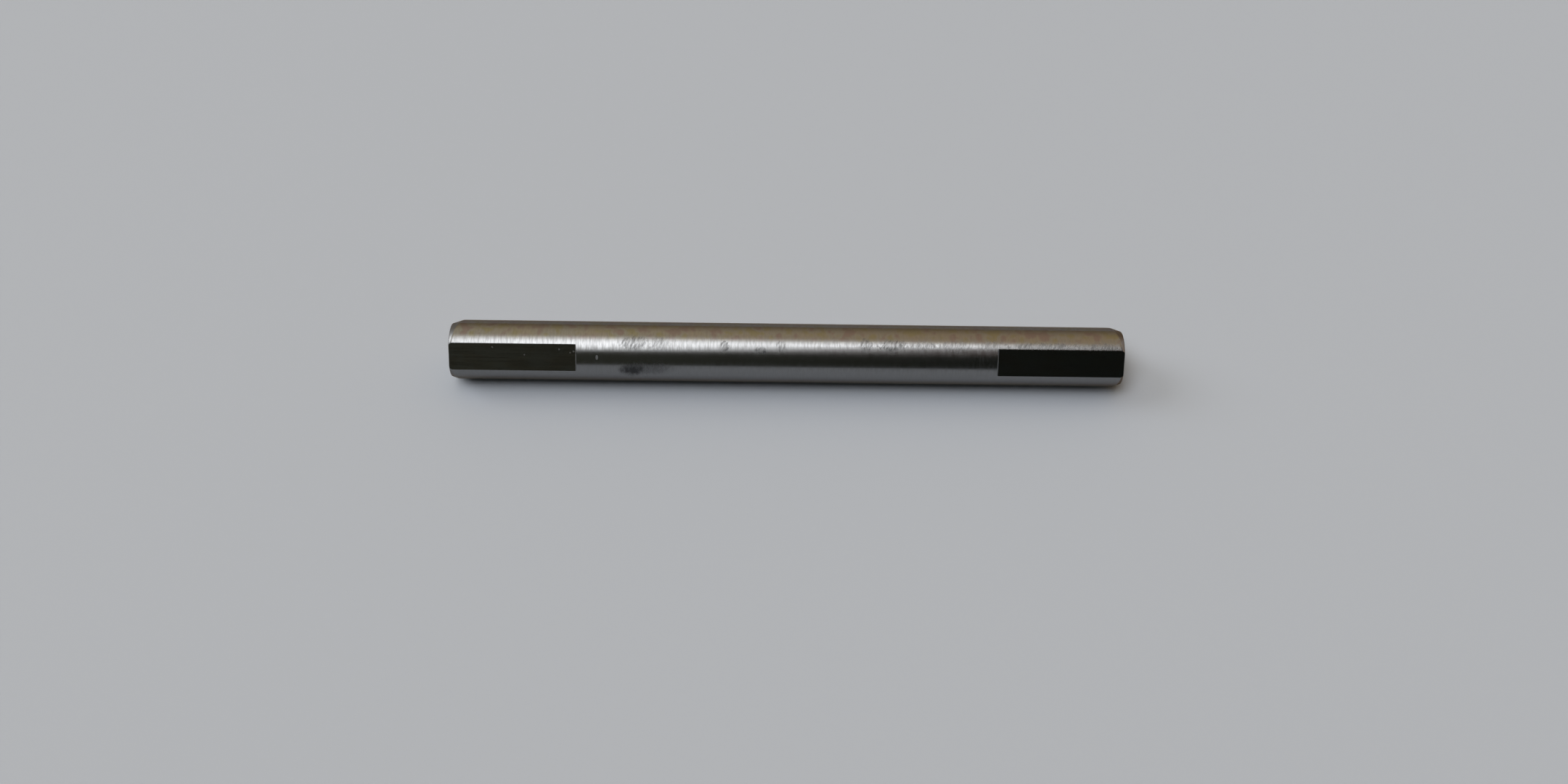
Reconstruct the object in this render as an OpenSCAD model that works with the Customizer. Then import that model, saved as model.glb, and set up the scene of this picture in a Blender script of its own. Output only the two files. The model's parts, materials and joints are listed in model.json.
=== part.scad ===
// Ground steel axle with an uneven chamfer and a milled flat at each end.
// It lies along X with its middle at the origin, and both flats look the same way, up and to the front.

/* [Shaft] */
// Length between the two end faces
axle_length = 68; // [40:0.5:120]
// Diameter of the ground shaft
shaft_d = 6; // [4:0.1:10]

/* [Ends] */
// Mean depth of each chamfer at its end face
chamfer_depth = 0.32; // [0.1:0.01:0.6]
// Slope of each chamfer against the shaft
chamfer_angle = 18; // [10:1:45]
// Distance of the chamfers' axis from the shaft's, towards the flats, which leaves them deeper at the back
chamfer_shift = 0.27; // [0:0.01:0.3]
// Radius of the rim between each chamfer and its end face
rim_r = 0.15; // [0.05:0.05:0.3]

/* [Flats] */
// Length of each flat, from the end face to its shoulder
flat_length = 12.8; // [5:0.1:18]
// Depth of each flat below the shaft's surface
flat_depth = 0.35; // [0.15:0.01:0.8]
// Radius that the cutter leaves between each flat and its shoulder
root_r = 0.1; // [0.05:0.05:0.1]
// Angle above level at which the flats look as the axle lies
flat_tilt = 40; // [0:1:90]

/* [Hidden] */
$fn = 96;

shaft_r = shaft_d / 2;
half_length = axle_length / 2;

// How far the tools pass clear of the shaft
tool_clear = 1;

// Each chamfer is part of a cone, from the end face's sharp radius out to where it clears the shaft.
end_r = shaft_r - chamfer_depth;
cone_r = shaft_r + chamfer_shift + tool_clear;
cone_length = (cone_r - end_r) / tan(chamfer_angle);

// The rim's arc turns from the chamfer to the end face about this centre, as [radius, place along the axle].
rim_centre = [end_r - rim_r * tan(45 - chamfer_angle / 2), half_length - rim_r];
rim_turn = 90 - chamfer_angle;
rim_steps = 8;
rim_arc = [
    for (i = [0 : rim_steps])
        let (angle = chamfer_angle + rim_turn * i / rim_steps)
            rim_centre + rim_r * [cos(angle), sin(angle)]
];

// Outline of the chamfer's cone at +X, from its widest circle to its axis, as [radius, place along the axle]
end_outline = concat([[cone_r, half_length - cone_length]], rim_arc, [[0, half_length]]);

// The same outline at the other end, walked from the axis back to the widest circle
far_outline = [for (i = [len(end_outline) - 1 : -1 : 0]) [end_outline[i].x, -end_outline[i].y]];

// The ground bar along X, longer than the axle by what is faced off its ends
module bar() {
    rotate([0, 90, 0])
        cylinder(r = shaft_r, h = axle_length + 2 * tool_clear, center = true);
}

// Everything that the end faces and the two chamfers leave standing
module faced_and_chamfered() {
    rotate([0, 90, 0])
        rotate_extrude()
            polygon(concat(end_outline, far_outline));
}

// Side view of the cutter over the end at +X, with its rounded lower corner at the shoulder
module cutter_side() {
    shoulder_x = half_length - flat_length;
    flat_z = shaft_r - flat_depth;
    far_x = half_length + tool_clear;
    top_z = shaft_r + tool_clear;
    translate([shoulder_x + root_r, flat_z])
        square([far_x - shoulder_x - root_r, top_z - flat_z]);
    translate([shoulder_x, flat_z + root_r])
        square([far_x - shoulder_x, top_z - flat_z - root_r]);
    translate([shoulder_x + root_r, flat_z + root_r])
        circle(root_r);
}

// The steel that is milled away above the flat at +X
module flat_cut() {
    rotate([90, 0, 0])
        linear_extrude(shaft_d + 2 * tool_clear, center = true)
            cutter_side();
}

module axle() {
    color([0.60, 0.58, 0.55])
        rotate([90 - flat_tilt, 0, 0])
            difference() {
                intersection() {
                    bar();
                    translate([0, 0, chamfer_shift])
                        faced_and_chamfered();
                }
                flat_cut();
                mirror([1, 0, 0])
                    flat_cut();
            }
}

axle();
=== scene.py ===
"""The axle's looks: softly broken edges, ground, milled and turned steel, and a plain pale studio."""
import json
import math

import bpy
import numpy as np
from mathutils import Matrix, Vector


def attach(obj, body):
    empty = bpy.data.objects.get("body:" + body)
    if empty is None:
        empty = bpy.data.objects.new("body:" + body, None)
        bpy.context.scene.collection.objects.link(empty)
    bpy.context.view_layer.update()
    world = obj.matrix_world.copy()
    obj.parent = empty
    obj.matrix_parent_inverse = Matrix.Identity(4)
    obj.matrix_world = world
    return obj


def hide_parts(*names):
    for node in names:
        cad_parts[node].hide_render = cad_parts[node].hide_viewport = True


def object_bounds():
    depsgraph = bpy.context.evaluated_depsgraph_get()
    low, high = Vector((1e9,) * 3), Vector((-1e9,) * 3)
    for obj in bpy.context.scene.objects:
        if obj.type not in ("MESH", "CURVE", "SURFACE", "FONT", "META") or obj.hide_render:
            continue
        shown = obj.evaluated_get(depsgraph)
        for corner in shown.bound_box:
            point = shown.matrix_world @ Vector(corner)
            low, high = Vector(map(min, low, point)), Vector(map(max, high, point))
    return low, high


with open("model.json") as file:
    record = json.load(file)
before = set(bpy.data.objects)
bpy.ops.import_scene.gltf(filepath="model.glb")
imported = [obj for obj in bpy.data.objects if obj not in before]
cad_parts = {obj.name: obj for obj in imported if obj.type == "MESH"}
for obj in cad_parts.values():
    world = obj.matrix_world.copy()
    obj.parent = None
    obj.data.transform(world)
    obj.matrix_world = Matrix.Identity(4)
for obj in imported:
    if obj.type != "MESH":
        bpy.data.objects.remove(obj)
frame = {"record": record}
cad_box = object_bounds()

MM = 0.001

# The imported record's sizes
mounts = {mount["name"]: mount for mount in frame["record"]["mounts"]}
SHAFT_R = mounts["journal"]["dims"]["r_mm"] * MM
HALF_LENGTH = round(cad_box[1].x, 6)
FLAT_NORMAL = Vector(mounts["left_flat"]["axis"]).normalized()
FLAT_HEIGHT = FLAT_NORMAL.dot(Vector(mounts["left_flat"]["pos_m"]))

# Sizes that the record doesn't give, as in the part
CHAMFER_DEPTH = 0.32 * MM
CHAMFER_ANGLE = math.radians(18)
CHAMFER_SHIFT = 0.27 * MM
RIM_R = 0.15 * MM
FLAT_LENGTH = 12.8 * MM
ROOT_R = 0.1 * MM

# How far the edges are broken by handling
EDGE_BREAK = 0.03 * MM

# The finishes of the axle's surfaces, in the order of its material slots
GROUND, TURNED, MILLED, FACED = range(4)


# Shape of the axle

def soft_min(a, b, blend):
    """The lower of two heights, with a rounded change from one to the other."""
    share = np.clip(0.5 + 0.5 * (b - a) / blend, 0, 1)
    return b + (a - b) * share - blend * share * (1 - share)


def end_stations():
    """Rings from the shaft's middle to the right end face.

    Each gives its place along X, the chamfer's radius there and the height that the cutter leaves.
    """
    uncut = SHAFT_R + 2 * EDGE_BREAK
    wide = SHAFT_R + 1 * MM
    shoulder = HALF_LENGTH - FLAT_LENGTH
    slope = math.tan(CHAMFER_ANGLE)
    sharp_end_r = SHAFT_R - CHAMFER_DEPTH
    chamfer_start = HALF_LENGTH - (CHAMFER_DEPTH + CHAMFER_SHIFT) / slope
    rim_centre_x = HALF_LENGTH - RIM_R
    rim_centre_r = sharp_end_r - RIM_R * math.tan(math.pi / 4 - CHAMFER_ANGLE / 2)
    rim_start = rim_centre_x + RIM_R * math.sin(CHAMFER_ANGLE)

    stations = []
    # The plain shaft, up to the shoulder's upper edge
    for x in np.linspace(0, shoulder - 0.3 * MM, 22):
        stations.append((x, wide, uncut))
    for gap in (0.12, 0.06, 0.03):
        stations.append((shoulder - gap * MM, wide, uncut))
    # The shoulder's broken edge and wall, and the cutter's radius at its root
    stations.append((shoulder - 0.012 * MM, wide, SHAFT_R - 0.008 * MM))
    stations.append((shoulder, wide, SHAFT_R - 0.03 * MM))
    for angle in np.radians(np.linspace(0, 90, 8)):
        x = shoulder + 0.01 * MM + ROOT_R * (1 - math.cos(angle))
        stations.append((x, wide, FLAT_HEIGHT + ROOT_R * (1 - math.sin(angle))))
    # The flat, up to where the chamfer starts at the back
    for x in np.linspace(shoulder + ROOT_R + 0.05 * MM, chamfer_start - 0.2 * MM, 13):
        stations.append((x, wide, FLAT_HEIGHT))
    # The chamfer
    for x in np.linspace(chamfer_start - 0.12 * MM, rim_start, 44):
        stations.append((x, sharp_end_r + (HALF_LENGTH - x) * slope, FLAT_HEIGHT))
    # The rim, turning from the chamfer to the end face, where the flat's edge is broken too
    for angle in np.linspace(CHAMFER_ANGLE, math.pi / 2, 11)[1:]:
        x = rim_centre_x + RIM_R * math.sin(angle)
        near_end = max(0.0, 1 - (HALF_LENGTH - x) / EDGE_BREAK)
        height = FLAT_HEIGHT - EDGE_BREAK * (1 - math.sqrt(1 - near_end ** 2))
        stations.append((x, rim_centre_r + RIM_R * math.cos(angle), height))
    return stations


def axle_mesh():
    """The whole axle as one closed mesh of rings, its flats and chamfers cut with softly broken edges."""
    right = end_stations()
    left = [(-x, cone_r, height) for x, cone_r, height in reversed(right[1:])]
    places, cone_radii, heights = np.array(left + right).T[:, :, None]

    # Angles round the axle from the flats' direction, closer together across the flats
    turns = np.radians(np.concatenate([np.linspace(-30, 30, 121), np.linspace(30, 330, 101)[1:-1]]))
    off_axis = CHAMFER_SHIFT * np.cos(turns)
    chamfer_r = off_axis + np.sqrt(cone_radii ** 2 - (CHAMFER_SHIFT * np.sin(turns)) ** 2)
    radii = soft_min(SHAFT_R, chamfer_r, EDGE_BREAK)
    round_heights = radii * np.cos(turns)
    sides = radii * np.sin(turns)
    cut_heights = soft_min(round_heights, heights, EDGE_BREAK)

    # The end faces, as ever smaller rings about the chamfers' axis
    shares = np.array([0.03, 0.15, 0.4, 0.7, 0.9, 0.97])[:, None]

    def with_faces(values, centre):
        first = centre + (values[:1] - centre) * shares
        last = centre + (values[-1:] - centre) * shares[::-1]
        return np.concatenate([first, values, last])

    face_rings = len(shares)
    places = np.concatenate([places[:1].repeat(face_rings, 0), places, places[-1:].repeat(face_rings, 0)])
    all_heights = with_faces(cut_heights, CHAMFER_SHIFT)
    all_sides = with_faces(sides, 0.0)

    normal = np.array(FLAT_NORMAL)
    side = np.cross(normal, (1, 0, 0))
    points = all_heights[..., None] * normal + all_sides[..., None] * side
    points[..., 0] += places
    count, around = all_heights.shape
    centre = CHAMFER_SHIFT * normal
    vertices = [*points.reshape(-1, 3), centre - (HALF_LENGTH, 0, 0), centre + (HALF_LENGTH, 0, 0)]
    left_centre = count * around
    right_centre = left_centre + 1

    # The finish at each point of the rings. A face that touches an end face's ring is faced, and any other
    # takes the lowest of its corners' finishes.
    finish_at = np.full(all_heights.shape, FACED)
    inner = finish_at[face_rings:-face_rings]
    inner[:] = np.where(chamfer_r < SHAFT_R, TURNED, GROUND)
    inner[round_heights > heights] = MILLED

    faces = []
    finishes = []
    for ring in range(count - 1):
        for step in range(around):
            after = (step + 1) % around
            low, high = ring * around, (ring + 1) * around
            faces.append((low + step, high + step, high + after, low + after))
            corners = finish_at[[ring, ring + 1, ring + 1, ring], [step, step, after, after]]
            finishes.append(int(corners.max() if FACED in corners else corners.min()))
    last = (count - 1) * around
    for step in range(around):
        after = (step + 1) % around
        faces.append((left_centre, step, after))
        faces.append((right_centre, last + after, last + step))
        finishes += [FACED, FACED]

    mesh = bpy.data.meshes.new("dressed_axle")
    mesh.from_pydata([tuple(map(float, vertex)) for vertex in vertices], [], faces)
    mesh.polygons.foreach_set("material_index", finishes)
    mesh.polygons.foreach_set("use_smooth", [True] * len(faces))
    mesh.update()
    return mesh


# Shader maths

class Value:
    """A shader socket that takes part in Python sums: each sum adds one Math node."""

    def __init__(self, tree, socket):
        self.tree = tree
        self.socket = socket

    def output(self, name):
        """Another output of the same node."""
        return Value(self.tree, self.socket.node.outputs[name])

    def __add__(self, other):
        return self.tree.math("ADD", self, other)

    def __radd__(self, other):
        return self.tree.math("ADD", other, self)

    def __sub__(self, other):
        return self.tree.math("SUBTRACT", self, other)

    def __rsub__(self, other):
        return self.tree.math("SUBTRACT", other, self)

    def __mul__(self, other):
        return self.tree.math("MULTIPLY", self, other)

    def __rmul__(self, other):
        return self.tree.math("MULTIPLY", other, self)


class Tree:
    """The nodes of one material or of the world."""

    def __init__(self, owner):
        owner.use_nodes = True
        self.nodes = owner.node_tree.nodes
        self.links = owner.node_tree.links
        self.nodes.clear()

    def node(self, kind, settings=None, sockets=None, output=0):
        """Adds a node: its settings first, then the number, colour or link of each socket."""
        made = self.nodes.new(kind)
        for name, setting in (settings or {}).items():
            setattr(made, name, setting)
        for name, given in (sockets or {}).items():
            if isinstance(given, Value):
                self.links.new(given.socket, made.inputs[name])
            else:
                made.inputs[name].default_value = given
        return Value(self, made.outputs[output]) if made.outputs else None

    def math(self, operation, first, second=0.0):
        return self.node("ShaderNodeMath", {"operation": operation}, {0: first, 1: second})

    def ramp(self, value, start, end, low=0.0, high=1.0):
        """A smooth climb from low to high as the value goes from start to end."""
        sockets = {"Value": value, "From Min": start, "From Max": end, "To Min": low, "To Max": high}
        return self.node("ShaderNodeMapRange", {"interpolation_type": "SMOOTHSTEP"}, sockets)

    def mix(self, first, second, share):
        """A colour between two."""
        sockets = {"Factor": share, 6: first, 7: second}
        return self.node("ShaderNodeMix", {"data_type": "RGBA"}, sockets, 2)

    def scaled(self, vector, scale):
        """A vector, stretched along each axis."""
        return self.node("ShaderNodeVectorMath", {"operation": "MULTIPLY"}, {0: vector, 1: scale})

    def noise(self, vector, detail=2.0, roughness=0.5):
        sockets = {"Vector": vector, "Scale": 1.0, "Detail": detail, "Roughness": roughness}
        return self.node("ShaderNodeTexNoise", {}, sockets, "Fac")


# Finishes of the steel

# Light that the steel throws back, where it is clean, stained or soiled
BARE_STEEL = (0.219, 0.223, 0.228, 1)
TAN_STEEL = (0.228, 0.216, 0.202, 1)
SHADED_STEEL = (0.11, 0.108, 0.106, 1)
MAUVE_STEEL = (0.2, 0.172, 0.182, 1)
OLIVE_STEEL = (0.212, 0.206, 0.158, 1)
BROWN_STEEL = (0.17, 0.125, 0.09, 1)
# The last colour also serves as painted shade where the scuffs dim the highlight's right end
GRIME_AND_SHADE = (0.05, 0.051, 0.053, 1)

# How much of that light is left where the steel is seen edge on
EDGE_TINT = (0.56, 0.48, 0.4, 1)

# Scuffs on the shaft: place along X and half length in mm, then the height round the shaft above the front
# and half of its spread in degrees, then depth. The last two rows are partly scuffs and partly painted
# shade that dims the highlight's right end.
SCUFFS_AND_SHADE = [
    (-15.4, 1.5, 73, 14, 0.65),
    (-12.9, 1.2, 72, 15, 0.45),
    (-6.3, 0.5, 67, 11, 0.75),
    (-2.6, 0.6, 60, 8, 0.8),
    (-0.6, 0.6, 68, 13, 0.5),
    (7.9, 0.7, 74, 14, 0.75),
    (10.6, 1.6, 73, 12, 0.8),
    (13.6, 1.3, 73, 11, 0.45),
    (16.9, 1.9, 72, 12, 0.35),
    (20.6, 1.8, 73, 11, 0.3),
    # These two are partly scuffs and partly painted shade that dims the highlight's right end
    (26.0, 4.2, 74, 9, 0.55),
    (31.4, 2.0, 74, 9, 0.5),
]

# Dirt on the shaft, given the same way
DIRT = [
    (-15.7, 1.1, 16, 14, 0.8),
    (-13.9, 2.4, 20, 13, 0.5),
]

# Small bright nicks on the shaft and on the left flat, given the same way but without a depth
SHAFT_NICKS = [(-19.1, 0.14, 43, 5)]
FLAT_NICKS = [
    (-21.45, 0.11, 54, 2.5),
    (-21.8, 0.08, 51, 2),
    (-22.9, 0.09, 58, 2),
    (-29.6, 0.1, 61, 2),
    (-26.4, 0.08, 45, 2),
]


def axle_coordinates(tree):
    """Place on the axle in mm, its parts along each axis, and degrees round the axle above its front."""
    place = tree.scaled(tree.node("ShaderNodeTexCoord", output="Object"), (1 / MM,) * 3)
    parts = tree.node("ShaderNodeSeparateXYZ", {}, {0: place})
    along, across, up = parts.output("X"), parts.output("Y"), parts.output("Z")
    angle = tree.math("ARCTAN2", up, across * -1) * math.degrees(1)
    return place, along, across, up, angle


def spread(along, angle, centre, half_length, height, half_height):
    """How far out from a mark's centre a point lies, squared: 1 is at the mark's edge."""
    far_along = (along - centre) * (1 / half_length)
    far_round = (angle - height) * (1 / half_height)
    return far_along * far_along + far_round * far_round


def steel(tree, colour, roughness, height, relief):
    """A finished steel surface whose fine relief is that many metres high."""
    bump = tree.node("ShaderNodeBump", {}, {"Strength": 1.0, "Distance": relief, "Height": height})
    sockets = {
        "Base Color": colour,
        "Metallic": 1.0,
        "Roughness": roughness,
        "Normal": bump,
        "Specular Tint": EDGE_TINT,
    }
    surface = tree.node("ShaderNodeBsdfPrincipled", {}, sockets)
    tree.node("ShaderNodeOutputMaterial", {}, {"Surface": surface})


def ground_steel():
    """Ground shaft: fine lines, faint stains, slanting scuff strokes that partly paint shade, dirt and a
    nick.
    """
    material = bpy.data.materials.new("ground_shaft")
    tree = Tree(material)
    place, along, across, up, angle = axle_coordinates(tree)
    radius = SHAFT_R / MM
    arc = angle * (math.radians(1) * radius)
    lines = tree.noise(tree.scaled(place, (5.6, 1.0, 1.0)), detail=2, roughness=0.6)
    bands = tree.noise(tree.scaled(place, (1.1, 0.12, 0.12)), detail=2)
    clouds = tree.noise(tree.scaled(place, (0.28, 0.4, 0.4)), detail=3)
    stains = tree.noise(tree.scaled(place, (0.75, 0.7, 0.7)), detail=2)
    mottle = tree.noise(tree.scaled(place, (2.6, 2.0, 2.0)), detail=3, roughness=0.65)
    # Strokes that lean to the right as they climb
    leaning = tree.node("ShaderNodeCombineXYZ", {}, {"X": (along - arc * 0.45) * 4.5, "Y": arc * 1.1})
    strokes = tree.ramp(tree.noise(leaning, detail=2), 0.42, 0.6, 0.3, 1.0)

    def ragged_marks(marks, edge, core, rough):
        """Marks that fade in from their edge to their core, with ragged outlines."""
        total = 0.0
        for *mark, depth in marks:
            ragged = spread(along, angle, *mark) + (mottle - 0.5) * rough
            total = tree.ramp(ragged, edge, core, 0.0, depth) + total
        return total

    # Scuff strokes, which at the highlight's right end are partly painted shade
    scuffs_and_shade = ragged_marks(SCUFFS_AND_SHADE, edge=1.2, core=0.2, rough=3) * strokes
    dirt = ragged_marks(DIRT, edge=1.8, core=-0.2, rough=2)
    soiled_or_shaded = tree.math("MINIMUM", scuffs_and_shade + dirt, 1.0)
    nicks = 0.0
    for mark in SHAFT_NICKS:
        nicks = tree.ramp(spread(along, angle, *mark), 1.0, 0.5) + nicks

    # The stains lie over the top and fade towards the back.
    # The ground lines show most at the front, above its middle.
    over = tree.ramp(up * 0.82 + across * 0.57, 0.66 * radius, 0.84 * radius)
    fading = over * tree.ramp(across, 0.15 * radius, 0.65 * radius, 1.0, 0.4)
    fresh = tree.ramp(up * 0.9 - across * 0.44, 0.8 * radius, 0.97 * radius, 0.35, 1.0)
    tint = tree.mix(BARE_STEEL, TAN_STEEL, tree.ramp(clouds, 0.35, 0.7, 0.0, 0.9) * over)
    tint = tree.mix(tint, MAUVE_STEEL, tree.ramp(stains, 0.52, 0.64) * fading)
    tint = tree.mix(tint, OLIVE_STEEL, tree.ramp(stains, 0.48, 0.36) * fading)
    shade = tree.ramp(lines, 0.38, 0.66, 0.0, 0.24) * fresh
    # Dirt, scuffs and the painted shade at the highlight's right end darken the colour towards the grime
    # colour
    colour = tree.mix(tree.mix(tint, SHADED_STEEL, shade), GRIME_AND_SHADE, soiled_or_shaded)
    roughness = 0.19 + tree.ramp(lines, 0.35, 0.65, 0.0, 0.07) + soiled_or_shaded * 0.1 + nicks * 0.45
    steel(tree, colour, roughness, lines + bands * 0.3 + mottle * 0.3, relief=2e-6)
    return material


def milled_steel():
    """Milled flats: smooth, streaked along the cutter's way, with a little dirt and a few nicks."""
    material = bpy.data.materials.new("milled_flats")
    tree = Tree(material)
    place, along, *_, angle = axle_coordinates(tree)
    streaks = tree.noise(tree.scaled(place, (0.2, 7.0, 7.0)), detail=3, roughness=0.6)
    clouds = tree.noise(tree.scaled(place, (0.5, 0.9, 0.9)), detail=3)
    grain = tree.noise(tree.scaled(place, (8, 8, 8)), detail=3)
    nicks = 0.0
    for mark in FLAT_NICKS:
        nicks = tree.ramp(spread(along, angle, *mark) + (grain - 0.5) * 2, 1.0, 0.4) + nicks
    dirt = tree.ramp(clouds * 0.25 + streaks * 0.45 + grain * 0.3, 0.42, 0.6, 0.1, 0.7)
    tint = tree.mix(BARE_STEEL, TAN_STEEL, tree.ramp(clouds, 0.4, 0.6))
    colour = tree.mix(tint, SHADED_STEEL, dirt)
    roughness = 0.12 + streaks * 0.06 + clouds * 0.06 + nicks * 0.4
    steel(tree, colour, roughness, streaks + grain * 0.2, relief=2e-6)
    return material


def turned_steel():
    """Turned chamfers: fine rings round the end, browned at the right end."""
    material = bpy.data.materials.new("turned_chamfers")
    tree = Tree(material)
    place, along, *_ = axle_coordinates(tree)
    lines = tree.noise(tree.scaled(place, (16, 0.1, 0.1)), detail=3, roughness=0.6)
    clouds = tree.noise(tree.scaled(place, (0.6, 0.7, 0.7)), detail=3)
    end = HALF_LENGTH / MM
    browned = tree.ramp(along, 0.95 * end, 0.98 * end) * tree.ramp(clouds, 0.2, 0.5, 0.4, 0.9)
    tint = tree.mix(BARE_STEEL, BROWN_STEEL, browned)
    colour = tree.mix(tint, SHADED_STEEL, tree.ramp(lines, 0.4, 0.7, 0.0, 0.4))
    roughness = 0.24 + lines * 0.14
    steel(tree, colour, roughness, lines, relief=3e-6)
    return material


def faced_steel():
    """Faced ends: close rings about the centre that the turning tool left."""
    material = bpy.data.materials.new("faced_ends")
    tree = Tree(material)
    place, *_ = axle_coordinates(tree)
    from_axis = tree.scaled(place, (0, 1, 1))
    reach = tree.node("ShaderNodeVectorMath", {"operation": "LENGTH"}, {0: from_axis}, "Value")
    rings = tree.math("SINE", reach * 60) * 0.5 + 0.5
    uneven = tree.noise(tree.node("ShaderNodeCombineXYZ", {}, {"X": reach * 6}), detail=3)
    clouds = tree.noise(tree.scaled(place, (0.6, 0.7, 0.7)), detail=3)
    colour = tree.mix(BARE_STEEL, SHADED_STEEL, tree.ramp(clouds * 0.5 + uneven * 0.5, 0.35, 0.7, 0.1, 0.6))
    roughness = 0.26 + uneven * 0.14
    steel(tree, colour, roughness, rings * 0.6 + uneven, relief=4e-6)
    return material


axle = bpy.data.objects.new("dressed_axle", axle_mesh())
bpy.context.scene.collection.objects.link(axle)
for finish in (ground_steel(), turned_steel(), milled_steel(), faced_steel()):
    axle.data.materials.append(finish)
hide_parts("axle")
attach(axle, "root")


# Studio

def pale_floor():
    """A wide pale floor at the axle's lowest line."""
    reach = 4.0
    mesh = bpy.data.meshes.new("floor")
    corners = [(-reach, -reach, 0), (reach, -reach, 0), (reach, reach, 0), (-reach, reach, 0)]
    mesh.from_pydata(corners, [], [(0, 1, 2, 3)])
    floor = bpy.data.objects.new("floor", mesh)
    floor.location.z = -SHAFT_R
    bpy.context.scene.collection.objects.link(floor)
    material = bpy.data.materials.new("pale_floor")
    tree = Tree(material)
    pale_grey = (0.338, 0.365, 0.411, 1)
    surface = tree.node("ShaderNodeBsdfPrincipled", {}, {"Base Color": pale_grey, "Roughness": 0.8})
    tree.node("ShaderNodeOutputMaterial", {}, {"Surface": surface})
    mesh.materials.append(material)


def white(level):
    """Colourless light of that strength."""
    return (level, level, level, 1)


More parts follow.
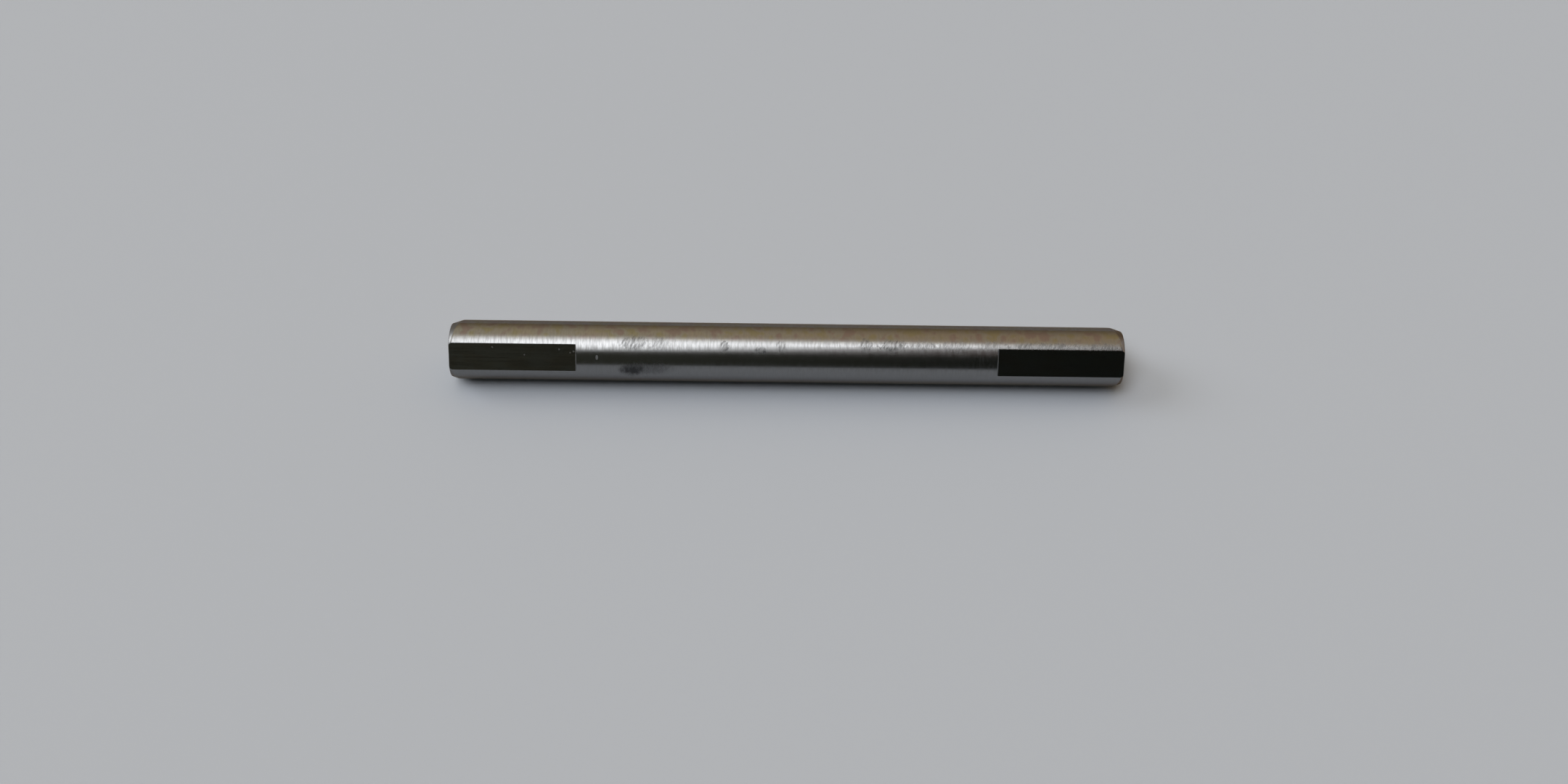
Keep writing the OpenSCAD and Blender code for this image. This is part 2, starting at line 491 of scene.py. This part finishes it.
def soft_room():
    """Soft light from a broad panel overhead, with a warm wall behind and a dim side in front.

    Pale walls stand at both ends, and a window at the far left.
    """
    world = bpy.data.worlds.new("soft_room")
    bpy.context.scene.world = world
    tree = Tree(world)
    facing = tree.node("ShaderNodeTexCoord", output="Generated")
    parts = tree.node("ShaderNodeSeparateXYZ", {}, {0: facing})
    sideways, depth, up = parts.output("X"), parts.output("Y"), parts.output("Z")
    # Height above the front, over the top, in degrees: 90 is straight up and 180 level behind
    height = tree.math("ARCTAN2", up, depth * -1) * math.degrees(1)

    # The wall behind darkens downwards and to the right
    wall_left = (0.91, 0.79, 0.56, 1)
    wall_right = (0.77, 0.59, 0.38, 1)
    wall_low = (0.34, 0.265, 0.17, 1)
    upper_wall = tree.mix(wall_left, wall_right, tree.ramp(sideways, -0.14, 0.1))
    wall = tree.mix(wall_low, upper_wall, tree.ramp(height, 182, 128))

    # The dim side in front darkens to the right, with a warm patch high at the right
    dim_left = (0.083, 0.084, 0.062, 1)
    dim_right = (0.0115, 0.014, 0.011, 1)
    warm_patch = (0.12, 0.08, 0.06, 1)
    dim = tree.mix(dim_left, dim_right, tree.ramp(sideways, -0.2, 0.2))
    dim = tree.mix(dim, warm_patch, tree.ramp(height, 44, 70) * tree.ramp(sideways, -0.05, 0.08))
    room = tree.mix(dim, wall, tree.ramp(height, tree.ramp(sideways, 0.08, 0.15, 66, 84), 111))

    # Plain pale walls at both ends, which the camera and the steel see and which leave the floor its shadow
    camera_ray = tree.node("ShaderNodeLightPath", output="Is Camera Ray")
    mirrored_ray = camera_ray.output("Is Glossy Ray") + camera_ray.output("Is Transmission Ray")
    seen = tree.math("MINIMUM", camera_ray + mirrored_ray, 1.0)
    end_low = (0.32, 0.335, 0.36, 1)
    end_high = (0.9, 0.93, 0.97, 1)
    end_wall = tree.mix(end_low, end_high, tree.ramp(up, 0.0, 0.7))
    room = tree.mix(room, end_wall, tree.ramp(tree.math("ABSOLUTE", sideways), 0.42, 0.64) * seen)

    # The panel's lower edge climbs to both sides.
    # Its light is strongest at its right end, and stronger again left of the middle.
    rightwards = tree.math("MAXIMUM", sideways + 0.09, 0.0)
    leftwards = tree.math("MAXIMUM", -0.1 - sideways, 0.0)
    low_edge = 61 + rightwards * 132 + leftwards * 30
    softness = tree.ramp(sideways, -0.05, 0.06, 13, 6)
    above = tree.ramp(height - low_edge, softness * -1, softness)
    below = tree.ramp(height, tree.ramp(sideways, -0.06, 0.03, 119, 110), 85)
    inward = tree.ramp(sideways, 0.122, 0.11) * tree.ramp(sideways, -0.45, -0.3)
    panel = above * below * inward
    middle = tree.ramp(sideways, -0.01, -0.11) * tree.ramp(sideways, -0.19, -0.1)
    outer = tree.mix(white(3.5), white(11), tree.ramp(sideways, 0.04, 0.105))
    bright = tree.mix(outer, white(6.1), middle)

    # A window far to the left, which only the left end's chamfer mirrors to the camera, beside the flat
    window_way = (-0.8, 0.22, 0.56)
    sockets = {0: facing, 1: window_way}
    toward = tree.node("ShaderNodeVectorMath", {"operation": "DOT_PRODUCT"}, sockets, "Value")
    window = tree.ramp(toward, 0.95, 0.982)
    light = tree.mix(tree.mix(room, bright, panel), white(6), window)
    background = tree.node("ShaderNodeBackground", {}, {"Color": light, "Strength": 1.0})
    tree.node("ShaderNodeOutputWorld", {}, {"Surface": background})


def soft_lamp():
    """A wide lamp above, to the left and in front, that lights the floor and sets the axle's shadow."""
    lamp = bpy.data.lights.new("soft_lamp", "SUN")
    lamp.energy = 1.1
    lamp.angle = math.radians(26)
    holder = bpy.data.objects.new("soft_lamp", lamp)
    lamp_way = Vector((-0.4, -0.27, 1))
    holder.rotation_euler = lamp_way.to_track_quat("Z", "Y").to_euler()
    holder.visible_glossy = False
    bpy.context.scene.collection.objects.link(holder)


def photo_camera():
    """The camera, in front and above, as the axle was photographed."""
    distance = 185.45 * MM
    height = math.radians(56)
    # In pixels of the frame
    frame_width = 2160
    focal = 2504
    middle_rise = 53.7
    middle_shift = 2.5

    data = bpy.data.cameras.new("camera")
    data.sensor_fit = "HORIZONTAL"
    data.sensor_width = 36
    data.lens = focal / frame_width * data.sensor_width
    data.clip_start = 0.005
    camera = bpy.data.objects.new("camera", data)
    bpy.context.scene.collection.objects.link(camera)
    # The axle's middle shows a little above the frame's centre and right of it, and its right end lower.
    pitch = math.pi / 2 - height - math.atan(middle_rise / focal)
    pan = math.atan(middle_shift / focal)
    roll = math.radians(1.62)
    turn = Matrix.Rotation(pitch, 4, "X") @ Matrix.Rotation(pan, 4, "Y") @ Matrix.Rotation(roll, 4, "Z")
    stand = Matrix.Translation((0, -distance * math.cos(height), distance * math.sin(height)))
    # It stands a little to the left of the axle's middle.
    swing = Matrix.Rotation(math.radians(-1.1), 4, "Z")
    camera.matrix_world = swing @ stand @ turn
    bpy.context.scene.camera = camera


pale_floor()
soft_room()
soft_lamp()
photo_camera()
bpy.context.scene.view_settings.view_transform = "Standard"
